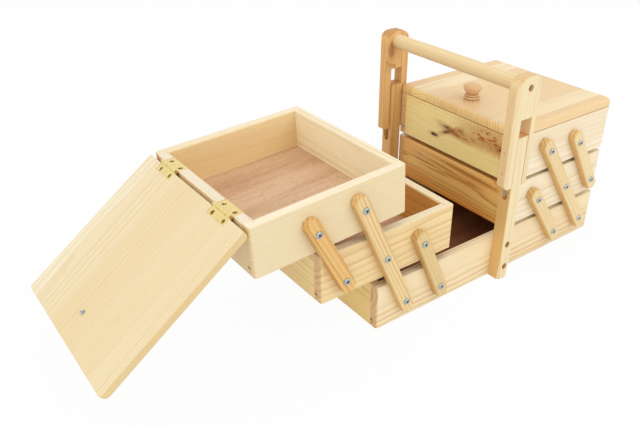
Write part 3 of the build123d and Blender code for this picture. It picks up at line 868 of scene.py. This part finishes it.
BOX_FRONT = PineFinish(early="FAE9C2", late="D09A56", contrast=0.9, ring_gap=6.0, wander=9.0)
ROUGH_END = PineFinish(early="FFEEA8", late="F0B45A", flank_tone_and_light="F0CC86", contrast=0.45, ring_gap=4.4,
                       patches=0.4, patch="F2BC58", streaks=0.25)
MIDDLE_END = PineFinish(early="FFD682", late="B86618", flank_tone_and_light="DCA85C", contrast=0.9, ring_gap=5.4,
                        wander=17.0, patches=0.85, patch="E8922E", streaks=0.25)
LID = PineFinish(early="F5E3BC", late="DAB074", flank_tone_and_light="FFEBC0", end="FFE29C", end_line="B0702E",
                 patch="E0B272", contrast=0.65, strip=27.0, patches=0.15)
LID_INNER = PineFinish(early="F3E8CA", late="D9B276", flank_tone_and_light="EBD3A0", end="E7CFA0", patch="E5C788",
                       contrast=0.7, strip=49.0, patches=0.2)
BACK_POST = PineFinish(early="F0C686", late="B97E3E", flank_tone_and_light="E8B872", end="CE9A58", end_line="8A5426",
                       contrast=0.85, ring_gap=4.6, patches=0.4, patch="DBA25C")
DOWEL = PineFinish(early="EFD9AC", late="DDB67A", flank_tone_and_light="EDD3A2", end="D8AE74", contrast=0.45)
# The bottom box's floor: a darker plywood that paints the shade inside the deep box.
PLYWOOD_PAINTED_SHADE = PlywoodFinish(ground="96603E", dark="7A4629", ribbon="844E2E", pore="5A321C")


def end_knot(place: Pair, reach: Pair, core: str, strength: float = 1.0, slant: float = 0.0,
             specks: bool = False) -> Knot:
    """Makes a knot that runs through one of the right half's inner ends.

    Args:
        place: Its middle along Y and Z, in millimetres.
        reach: How far it reaches along Y and Z, in millimetres.
        core: Its colour.
        strength: How much of the wood's colour it hides.
        slant: How far it is turned about X, in degrees.
        specks: Whether it breaks up into specks.

    Returns:
        The knot.
    """
    end_x, through = 7.5, 30.0
    return Knot((end_x, *place), (through, *reach), core, strength, slant, specks)


STOCK: dict[str, Stock] = {
    "box_front_side": Stock(BOX_FRONT, (14.0, -22.0)),
    "box_back_side": Stock(PALE, (-34.0, -30.0)),
    "box_left_end": Stock(HONEY, (16.0, -40.0)),
    "box_right_end": Stock(PALE, (-25.0, -36.0)),
    "left_middle_front_side": Stock(GOLDEN, (36.0, -30.0)),
    "left_middle_outer_end": Stock(AMBER, (-30.0, -28.0)),
    # The inside colours paint warm shade on the middle tray's inner walls and light on the upper tray's
    # inner end.
    "left_middle_inner_end": Stock(
        PineFinish(early="F2D9A0", late="C88C44", ring_gap=6.5, wander=11.0, inside="EFB25E"),
        (22.0, -30.0)),
    "left_middle_back_side": Stock(PineFinish(early="F8EBCC", inside="EFB45F"), (-28.0, -34.0)),
    "left_upper_front_side": Stock(CREAM, (70.0, -22.0)),
    "left_upper_back_side": Stock(PineFinish(early="F3DDAE", late="E2BC80", contrast=0.5), (-26.0, 60.0)),
    "left_upper_inner_end": Stock(
        PineFinish(early="F6E2B4", late="D3A05C", ring_gap=6.5, wander=11.0, patches=0.1, inside="FFF6D4"),
        (12.0, -34.0)),
    "left_upper_outer_end": Stock(PineFinish(early="F8EBCC", flank_tone_and_light="F0E8D4"), (-40.0, -30.0)),
    "right_middle_front_side": Stock(PineFinish(early="FAF0D6", ring_gap=6.0, wander=9.0), (24.0, -32.0)),
    "right_upper_front_side": Stock(PineFinish(early="FCF4E0", late="EACF9C", ring_gap=6.0), (-42.0, -30.0)),
    "right_upper_inner_end": Stock(ROUGH_END, (18.0, -34.0), (
        end_knot((1.0, 155.0), (16.0, 2.9), "180B05", slant=11.0),
        end_knot((5.0, 153.0), (12.0, 2.3), "1C0E07", slant=-26.0),
        end_knot((31.0, 140.5), (6.0, 2.2), "1C0E07"),
        end_knot((-14.0, 159.5), (5.0, 2.8), "8C7A3C", 0.8),
        end_knot((-20.0, 154.0), (22.0, 3.8), "C06A22", 0.85, specks=True),
        end_knot((-62.0, 166.0), (30.0, 10.0), "B83A0C", specks=True),
        end_knot((-76.0, 158.0), (12.0, 5.0), "8E2C0C", specks=True))),
    "right_middle_inner_end": Stock(MIDDLE_END, (-20.0, -26.0), (
        end_knot((44.0, 96.0), (26.0, 1.0), "8A4A1C", 0.55),
        end_knot((22.0, 91.0), (22.0, 0.8), "8A4A1C", 0.5),
        end_knot((12.0, 101.5), (30.0, 1.2), "8E4E1E", 0.5, slant=3.0),
        end_knot((-34.0, 108.0), (44.0, 2.2), "A4591F", 0.6, slant=2.0))),
    "front_post": Stock(
        PineFinish(early="F3E2B8", late="DDB478", flank_tone_and_light="E6BC78", end="DDA866", contrast=0.7),
        (30.0, -70.0)),
    "back_post": Stock(BACK_POST, (14.0, -40.0)),
    "handle_front_fork": Stock(
        PineFinish(early="F2E1B8", late="E2C18A", flank_tone_and_light="EFD2A0", contrast=0.5),
        (-36.0, -60.0)),
    "handle_back_fork": Stock(BACK_POST, (-12.0, -36.0), (
        Knot((-10.0, 104.0, 236.0), (4.5, 30.0, 10.0), "9A5A2C", 0.55),)),
    "handle_grip": Stock(DOWEL, (12.0, -55.0)),
    "left_long_arms": Stock(STRIPED, (64.0, 52.0)),
    "left_lower_arms": Stock(ARM_WARM, (63.0, 67.667)),
    "left_upper_arms": Stock(ARM_AMBER, (64.0, 49.667)),
    "right_long_arms": Stock(ARM_PALE, (64.0, 52.0)),
    "right_lower_arms": Stock(ARM_PALE, (63.0, 67.667)),
    "right_upper_arms": Stock(ARM_PALE, (9.0, 49.667)),
    "left_lid_panel": Stock(LID_INNER, (30.0, -46.0)),
    "right_lid_panel": Stock(LID, (24.0, -40.0)),
}


def plain_stock(number: int) -> Stock:
    """Gives plain pine, each number from its own part of the log."""
    return Stock(PALE, (37.0 * math.sin(number * 2.4), -28.0 - 9.0 * math.cos(number * 1.7)))


# ---- reading directions and screw places from the frame

def widest_face(node: bpy.types.Object, avoid: Optional[Vector] = None) -> Vector:
    """Finds the direction that most of a piece's flat surface faces.

    Args:
        node: The piece.
        avoid: A direction whose faces are left out.

    Returns:
        The unit direction, on the upper side of the level plane.
    """
    areas: dict[tuple[float, ...], float] = {}
    for polygon in node.data.polygons:
        normal = polygon.normal
        if avoid is not None and abs(normal.dot(avoid)) > 0.5:
            continue
        if normal.z < 0:
            normal = -normal
        key = tuple(round(value, 3) for value in normal)
        areas[key] = areas.get(key, 0.0) + polygon.area
    return Vector(max(areas, key=areas.get)).normalized()


def points_middle(points: Sequence[Vector]) -> Vector:
    """Gives the middle of the box round some points."""
    sides = list(zip(*points))
    return (Vector(map(min, sides)) + Vector(map(max, sides))) / 2


def islands(node: bpy.types.Object) -> list[list[Vector]]:
    """Splits a node into its separate solids.

    Args:
        node: The node.

    Returns:
        The points of each solid.
    """
    copy = bmesh.new()
    copy.from_mesh(node.data)
    bmesh.ops.remove_doubles(copy, verts=copy.verts, dist=MM / 1000)
    waiting = set(copy.verts)
    groups = []
    while waiting:
        front = [waiting.pop()]
        group = []
        while front:
            vertex = front.pop()
            group.append(vertex.co.copy())
            for edge in vertex.link_edges:
                other = edge.other_vert(vertex)
                if other in waiting:
                    waiting.remove(other)
                    front.append(other)
        groups.append(group)
    copy.free()
    return sorted(groups, key=lambda points: tuple(round(value, 4) for value in points_middle(points)))


def screw_spots(node: bpy.types.Object, axis: Vector, shape: ScrewShape) -> list[Spot]:
    """Finds where a node's screws are. The head is the end that is wider over its first few steps.

    Args:
        node: The node of plain screws.
        axis: The line that they all lie along.
        shape: Their sizes.

    Returns:
        One spot for each screw, on the rim of its head.
    """
    head_depth = 2.1 * MM
    spots = []
    for points in islands(node):
        middle = points_middle(points)
        steps = [point - middle for point in points]
        reach: dict[int, float] = {}
        for sign in (1, -1):
            end = max(sign * step.dot(axis) for step in steps)
            rim = [step for step in steps if sign * step.dot(axis) > end - head_depth]
            reach[sign] = max((step - axis * step.dot(axis)).length for step in rim)
        out = axis * (1 if reach[1] > reach[-1] else -1)
        top = max(step.dot(out) for step in steps)
        spots.append(Spot(middle + out * (top - shape.dome * MM), out))
    return spots


def finished_piece(name: str, mesh: bpy.types.Mesh, crease: float) -> bpy.types.Object:
    """Puts a finished mesh in the scene, shaded smooth up to its creases.

    Args:
        name: The object's name.
        mesh: Its mesh, in place.
        crease: Edges turned more than this many degrees stay sharp.

    Returns:
        The object, at the origin.
    """
    mesh.name = name
    mesh.polygons.foreach_set("use_smooth", [True] * len(mesh.polygons))
    mesh.set_sharp_from_angle(angle=math.radians(crease))
    piece = bpy.data.objects.new(name, mesh)
    bpy.context.scene.collection.objects.link(piece)
    return piece


class Workshop:
    """Holds the metals and the tree that several sub-assemblies share, and the ways to dress a piece."""

    def __init__(self, nodes: dict[str, bpy.types.Object]) -> None:
        """Makes the shared metals and the screw tree.

        Args:
            nodes: The frame's objects by name.
        """
        self.nodes = nodes
        self.metals = {ZINC: ZINC.material("zinc_plate"), BRASS: BRASS.material("polished_brass"),
                       BRASS_SCREW: BRASS_SCREW.material("screw_brass")}
        self.tree = ScrewTree()

    def middle(self, node: str) -> Vector:
        """Gives the middle of a node's box."""
        low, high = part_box(node)
        return (low + high) / 2

    def dress(self, node: str, material: bpy.types.Material) -> None:
        """Gives a node its finish.

        Args:
            node: The node's name.
            material: Its finish.
        """
        mesh = self.nodes[node].data
        mesh.materials.clear()
        mesh.materials.append(material)
        LOG.info("dressed %s", node)

    def pine(self, node: str, grain: Vector, face: Vector, stock: Optional[Stock] = None) -> None:
        """Dresses one wooden node in its own piece of pine.

        Args:
            node: The node's name.
            grain: Direction of the grain.
            face: Direction of the show face.
            stock: Its wood, where the list of stock doesn't name the node.
        """
        wood = STOCK.get(node, stock)
        middle = self.middle(node)
        finish = wood.finish.material("pine_" + node, middle, grain, face, wood.pith, wood.knots)
        self.dress(node, finish)

    def screws(self, node: str, body: str, shape: ScrewShape, axis: Vector, seed: int) -> list[Spot]:
        """Replaces a node of plain screws with a row of finished ones.

        Args:
            node: The node that they stand for.
            body: The body that they ride on.
            shape: Their sizes.
            axis: The line that they all lie along.
            seed: Sets how each is turned.

        Returns:
            Where they are.
        """
        spots = screw_spots(self.nodes[node], axis, shape)
        points = bpy.data.meshes.new(node + "_points")
        points.from_pydata([spot.place for spot in spots], [], [])
        aim = points.attributes.new("aim", "FLOAT_VECTOR", "POINT")
        for index, spot in enumerate(spots):
            aim.data[index].vector = spot.out
        row = bpy.data.objects.new(node + "_row", points)
        bpy.context.scene.collection.objects.link(row)
        modifier = row.modifiers.new("screws", "NODES")
        modifier.node_group = self.tree.tree
        given = {label: getattr(shape, label.lower().replace(" ", "_")) * MM for label in self.tree.LENGTHS}
        given |= {"Taper": shape.taper, "Cross": shape.drive is Drive.CROSS, "Seed": seed,
                  "Metal": self.metals[shape.metal]}
        for label, value in given.items():
            modifier[self.tree.identifier(label)] = value
        evaluated = row.evaluated_get(bpy.context.evaluated_depsgraph_get())
        mesh = bpy.data.meshes.new_from_object(evaluated)
        bpy.data.objects.remove(row)
        bpy.data.meshes.remove(points)
        piece = finished_piece(node + "_detail", mesh, 32.0)
        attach(piece, body)
        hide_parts(node)
        LOG.info("set %d screws for %s", len(spots), node)
        return spots


# ---- the sub-assemblies

@dataclass
class OpenBox:
    """A box or tray of four tongue-jointed boards round a plywood floor, and the screws for its arms."""

    shop: Workshop
    prefix: str
    body: str
    number: int
    ends: tuple[str, str] = ("inner_end", "outer_end")
    floor: PlywoodFinish = PlywoodFinish()
    screw_shape: ScrewShape = ARM_SCREW

    def build(self) -> None:
        """Dresses the boards and the floor, and sets the arm screws."""
        along = Y_AXIS.cross(widest_face(self.shop.nodes[self.prefix + "_floor"]))
        outward = -along if self.prefix.startswith("left") else along
        faces = {"front_side": -Y_AXIS, "back_side": Y_AXIS, "left_end": -along, "right_end": along,
                 "inner_end": -outward, "outer_end": outward}
        for index, part in enumerate(("front_side", "back_side") + self.ends):
            grain = along if part.endswith("side") else Y_AXIS
            self.shop.pine(f"{self.prefix}_{part}", grain, faces[part], plain_stock(self.number + index))
        self.shop.dress(self.prefix + "_floor", self.floor.material("plywood_" + self.prefix))
        self.shop.screws(self.prefix + "_arm_screws", self.body, self.screw_shape, Y_AXIS, self.number)


@dataclass
class Arms:
    """The three pairs of arms of one side, each cut from its own stick."""

    shop: Workshop
    side: str

    def build(self) -> None:
        """Dresses the arms with the grain along each."""
        for kind in ("long", "lower", "upper"):
            node = f"{self.side}_{kind}_arms"
            along = widest_face(self.shop.nodes[node], Y_AXIS).cross(Y_AXIS)
            self.shop.pine(node, along, -Y_AXIS)


@dataclass
class Posts:
    """The front and back posts and the screws sunk in them."""

    shop: Workshop
    screw_shape: ScrewShape = DEEP_SCREW
    seed: int = 71

    def build(self) -> None:
        """Dresses the posts and sets their screws."""
        self.shop.pine("front_post", Z_AXIS, -Y_AXIS)
        self.shop.pine("back_post", Z_AXIS, Y_AXIS)
        self.shop.screws("post_screws", "root", self.screw_shape, Y_AXIS, self.seed)


@dataclass
class Handle:
    """Two forks joined by a dowel, with their guide pegs and screws."""

    shop: Workshop
    peg: TurnedFinish = TurnedFinish()
    screw_shape: ScrewShape = DEEP_SCREW
    seed: int = 83

    def build(self) -> None:
        """Dresses the handle's wood and sets its screws."""
        self.shop.pine("handle_front_fork", Z_AXIS, -Y_AXIS)
        self.shop.pine("handle_back_fork", Z_AXIS, Y_AXIS)
        self.shop.pine("handle_grip", Y_AXIS, Z_AXIS)
        pegs = "handle_guide_pegs"
        self.shop.dress(pegs, self.peg.material("turned_pegs", self.shop.middle(pegs), X_AXIS))
        self.shop.screws("handle_grip_screws", "handle", self.screw_shape, Y_AXIS, self.seed)


@dataclass
class Lid:
    """A lid glued up from strips, with a turned knob and the screw that holds it. Sizes in millimetres."""

    shop: Workshop
    side: str
    thickness: float = 11.0
    knob_screw: ScrewShape = KNOB_SCREW
    knob_finish: TurnedFinish = TurnedFinish()
    outline: tuple[Pair, ...] = (
        (10.2, 0.0), (10.45, 0.6), (10.45, 2.0), (9.9, 2.9), (9.3, 3.3), (9.9, 4.1), (10.15, 5.0),
        (9.6, 6.1), (8.7, 6.8), (8.95, 7.6), (8.5, 8.6), (7.4, 9.5), (7.55, 10.4), (8.6, 11.8),
        (10.1, 13.5), (11.1, 15.4), (11.3, 17.2), (10.7, 19.0), (9.2, 20.4), (6.9, 21.2), (3.8, 21.6),
        (0.0, 21.7))
    # Heights of the grooves that get painted shade.
    grooves: Triple = (3.3, 6.9, 9.7)
    sides: int = 72
    steps: int = 4
    crease: float = 50.0
    seed: int = 91

    def build(self) -> None:
        """Dresses the lid, turns its knob and sets the knob's screw."""
        panel = f"{self.side}_lid_panel"
        normal = widest_face(self.shop.nodes[panel])
        self.shop.pine(panel, Y_AXIS.cross(normal), normal)
        screw = f"{self.side}_lid_knob_screw"
        spots = self.shop.screws(screw, f"{self.side}_lid", self.knob_screw, normal, self.seed)
        self._knob(spots[0])

    def _knob(self, screw: Spot) -> None:
        """Turns the knob on the far side of the lid from its screw's head.

        Args:
            screw: The knob's screw.
        """
        axis = -screw.out
        base = screw.place + axis * (self.thickness + self.knob_screw.rim) * MM
        other = axis.cross(Y_AXIS)
        turns = [2 * math.pi * index / self.sides for index in range(self.sides)]
        spokes = [Y_AXIS * math.cos(turn) + other * math.sin(turn) for turn in turns]
        lathe = bmesh.new()
        rows = []
        for radius, height in self._smooth_outline():
            centre = base + axis * height * MM
            rows.append([lathe.verts.new(centre + spoke * radius * MM) for spoke in spokes])
        lathe.faces.new(rows[0])
        tip = lathe.verts.new(base + axis * self.outline[-1][1] * MM)
        neighbours = [(index, (index + 1) % self.sides) for index in range(self.sides)]
        for lower, upper in zip(rows, rows[1:]):
            for near, far in neighbours:
                lathe.faces.new((lower[near], lower[far], upper[far], upper[near]))
        for near, far in neighbours:
            lathe.faces.new((rows[-1][near], rows[-1][far], tip))
        bmesh.ops.recalc_face_normals(lathe, faces=lathe.faces)
        mesh = bpy.data.meshes.new(f"{self.side}_turned_knob")
        lathe.to_mesh(mesh)
        lathe.free()
        finish = self.knob_finish.material(f"turned_{self.side}_knob", base, axis, self.grooves)
        mesh.materials.append(finish)
        piece = finished_piece(f"{self.side}_turned_knob", mesh, self.crease)
        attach(piece, f"{self.side}_lid")
        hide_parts(f"{self.side}_lid_knob")
        LOG.info("turned the %s knob", self.side)

    def _smooth_outline(self) -> list[Pair]:
        """Draws a smooth curve through the knob's sizes.

        Returns:
            Radius and height of each ring up to the tip, which isn't among them.
        """
        points = [Vector(point) for point in self.outline]
        curve = []
        for index in range(len(points) - 1):
            before = points[max(index - 1, 0)]
            start, stop = points[index], points[index + 1]
            after = points[min(index + 2, len(points) - 1)]
            for step in range(self.steps):
                share = step / self.steps
                bend = (stop - before) * 0.5 * share * (1 - share) ** 2
                bend -= (after - start) * 0.5 * share ** 2 * (1 - share)
                ease = share * share * (3 - 2 * share)
                spot = start.lerp(stop, ease) + bend
                curve.append((spot.x, spot.y))
        return curve


@dataclass
class Hinges:
    """The two butt hinges of one lid and their slotted screws."""

    shop: Workshop
    side: str
    screw_shape: ScrewShape = LEAF_SCREW
    seeds: tuple[int, int] = (101, 102)

    def build(self) -> None:
        """Dresses the brass and sets the leaf screws."""
        for part in ("hinge_tray_leaves", "hinge_lid_leaves", "hinge_pins"):
            self.shop.dress(f"{self.side}_{part}", self.shop.metals[BRASS])
        for kind, flat, body, seed in (("tray", "upper_floor", "upper_tray", self.seeds[0]),
                                       ("lid", "lid_panel", "lid", self.seeds[1])):
            axis = widest_face(self.shop.nodes[f"{self.side}_{flat}"])
            node = f"{self.side}_hinge_{kind}_screws"
            self.shop.screws(node, f"{self.side}_{body}", self.screw_shape, axis, seed)


# ---- the room

@dataclass(frozen=True)
class Lamp:
    """A square soft lamp: where it hangs and its width in metres, and its power in watts."""

    name: str
    place: Triple
    width: float
    power: float


@dataclass
class Studio:
    """A plain white room, soft lamps and the camera. Lengths in metres, angles in degrees."""

    azimuth: float = -37.594
    elevation: float = 30.178
    roll: float = 0.69
    distance: float = 0.80629
    target: Triple = (-0.16146, 0.00061, 0.09171)
    focal_pixels: float = 690.25
    centre_pixel: Pair = (343.68, 215.04)
    image: tuple[int, int] = (640, 427)
    lamps: tuple[Lamp, ...] = (
        Lamp("key", (0.5, -1.9, 1.5), 1.6, 12.0),
        Lamp("top", (-0.7, 0.1, 2.1), 1.8, 6.0),
        Lamp("side", (-2.2, -0.3, 0.7), 1.4, 4.6))
    lit_point: Triple = (-0.1, 0.0, 0.1)
    floor_size: float = 12.0
    floor_gap: float = 0.4 * MM
    floor_colour: Triple = (0.86, 0.86, 0.85)
    floor_shown: float = 0.955
    even_light: Triple = (1.0, 0.985, 0.96)
    even_strength: float = 0.84
    white_shown: Triple = (0.98, 0.98, 0.98)

    def build(self) -> None:
        """Builds the room, the lamps and the camera."""
        self._floor()
        self._world()
        for lamp in self.lamps:
            self._hang(lamp)
        self._camera()
        bpy.context.scene.view_settings.view_transform = "Standard"

    def _show(self, graph: Graph, lit: Socket, shown: Socket, share: float) -> Socket:
        """Shows a plain shader to the camera, to reflections and through glass, in place of the real one.

        Args:
            graph: The material or world.
            lit: The shader that takes part in the light.
            shown: The shader that is seen.
            share: How much of it is seen.

        Returns:
            The mixed shader.
        """
        path = graph.node("ShaderNodeLightPath").outputs
        seen = graph.math("MAXIMUM", path["Is Camera Ray"], path["Is Glossy Ray"])
        seen = graph.math("MAXIMUM", seen, path["Is Transmission Ray"])
        given = {0: graph.math("MULTIPLY", seen, share), 1: lit, 2: shown}
        return graph.node("ShaderNodeMixShader", given).outputs[0]

    def _floor(self) -> None:
        """Lays a white floor that keeps a faint shadow."""
        half = self.floor_size / 2
        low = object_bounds()[0][2] - self.floor_gap
        mesh = bpy.data.meshes.new("floor")
        corners = [(-half, -half, low), (half, -half, low), (half, half, low), (-half, half, low)]
        mesh.from_pydata(corners, [], [(0, 1, 2, 3)])
        floor = bpy.data.objects.new("floor", mesh)
        bpy.context.scene.collection.objects.link(floor)
        surface = Surface("white_floor")
        surface.feed(surface.shader.inputs["Base Color"], self.floor_colour)
        surface.shader.inputs["Roughness"].default_value = 0.9
        glow = surface.node("ShaderNodeEmission", {"Strength": 1.0})
        shown = self._show(surface, surface.shader.outputs[0], glow.outputs[0], self.floor_shown)
        surface.feed(surface.output.inputs["Surface"], shown)
        mesh.materials.append(surface.material)
        floor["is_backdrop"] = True

    def _world(self) -> None:
        """Fills the room with even light, and makes it white where it is seen."""
        world = bpy.data.worlds.new("room")
        bpy.context.scene.world = world
        world.use_nodes = True
        world.node_tree.nodes.clear()
        graph = Graph(world.node_tree)
        light = {"Color": self.even_light, "Strength": self.even_strength}
        even = graph.node("ShaderNodeBackground", light)
        white = graph.node("ShaderNodeBackground", {"Color": self.white_shown, "Strength": 1.0})
        shown = self._show(graph, even.outputs[0], white.outputs[0], 1.0)
        graph.node("ShaderNodeOutputWorld", {"Surface": shown})

    def _hang(self, lamp: Lamp) -> None:
        """Hangs a lamp so that it faces the carrier.

        Args:
            lamp: The lamp.
        """
        data = bpy.data.lights.new(lamp.name, "AREA")
        data.size, data.energy = lamp.width, lamp.power
        hung = bpy.data.objects.new(lamp.name, data)
        hung.location = lamp.place
        aim = Vector(self.lit_point) - Vector(lamp.place)
        hung.rotation_euler = aim.to_track_quat("-Z", "Y").to_euler()
        bpy.context.scene.collection.objects.link(hung)

    def _camera(self) -> None:
        """Sets the camera."""
        turn, tilt, lean = (math.radians(angle) for angle in (self.azimuth, self.elevation, self.roll))
        back = Vector((math.sin(turn) * math.cos(tilt), -math.cos(turn) * math.cos(tilt), math.sin(tilt)))
        right = (-back).cross(Z_AXIS).normalized()
        up = right.cross(-back)
        right, up = (right * math.cos(lean) + up * math.sin(lean),
                     up * math.cos(lean) - right * math.sin(lean))
        data = bpy.data.cameras.new("camera")
        data.sensor_width = 36.0
        data.lens = self.focal_pixels / self.image[0] * data.sensor_width
        data.shift_x = (self.image[0] / 2 - self.centre_pixel[0]) / self.image[0]
        data.shift_y = (self.centre_pixel[1] - self.image[1] / 2) / self.image[0]
        data.clip_start, data.clip_end = 0.05, 60.0
        camera = bpy.data.objects.new("camera", data)
        camera.location = Vector(self.target) + back * self.distance
        camera.rotation_euler = Matrix((right, up, back)).transposed().to_euler()
        bpy.context.scene.collection.objects.link(camera)
        bpy.context.scene.camera = camera


def main() -> None:
    """Builds and dresses the carrier, then the room round it."""
    logging.basicConfig(level=logging.INFO, format="%(name)s: %(message)s", force=True)
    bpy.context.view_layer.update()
    shop = Workshop(frame["nodes"])
    OpenBox(shop, "box", "root", 0, ("left_end", "right_end"), PLYWOOD_PAINTED_SHADE).build()
    Posts(shop).build()
    Handle(shop).build()
    for side, numbers in (("left", {"middle": 28, "upper": 35}), ("right", {"middle": 11, "upper": 18})):
        Arms(shop, side).build()
        for tier, number in numbers.items():
            OpenBox(shop, f"{side}_{tier}", f"{side}_{tier}_tray", number).build()
        Lid(shop, side).build()
        Hinges(shop, side).build()
    Studio().build()


if __name__ == "__main__":
    main()
